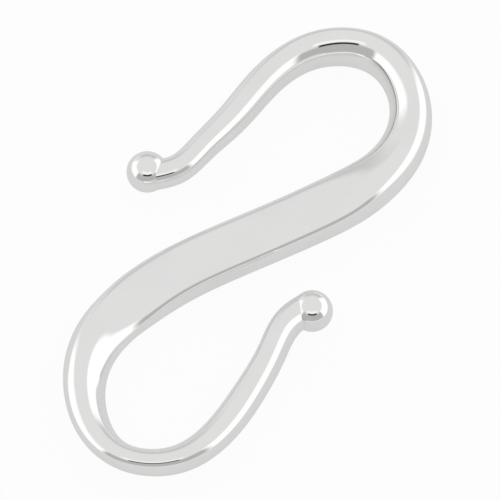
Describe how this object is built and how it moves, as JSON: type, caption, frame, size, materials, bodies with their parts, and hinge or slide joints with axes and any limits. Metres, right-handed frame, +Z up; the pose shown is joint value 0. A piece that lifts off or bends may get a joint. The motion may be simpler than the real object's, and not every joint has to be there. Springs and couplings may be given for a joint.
{
  "type": "s-hook clasp",
  "caption": "S-shaped jewellery clasp: a flat bar bent into an open hook at each end, each hook tipped with a small round ball.",
  "frame": {"origin": "middle of the outside box, on the plane that the clasp lies on", "axes": "+Y along the clasp towards the more open hook, +Z up through its flat thickness"},
  "size_m": [0.016, 0.0342, 0.0028],
  "materials": {
    "silver": "bright white metal, taken as sterling silver from its colour, polished close to a mirror, with faint polishing and handling marks"
  },
  "bodies": {
    "root": {"s_hook": "silver"}
  },
  "joints": []
}
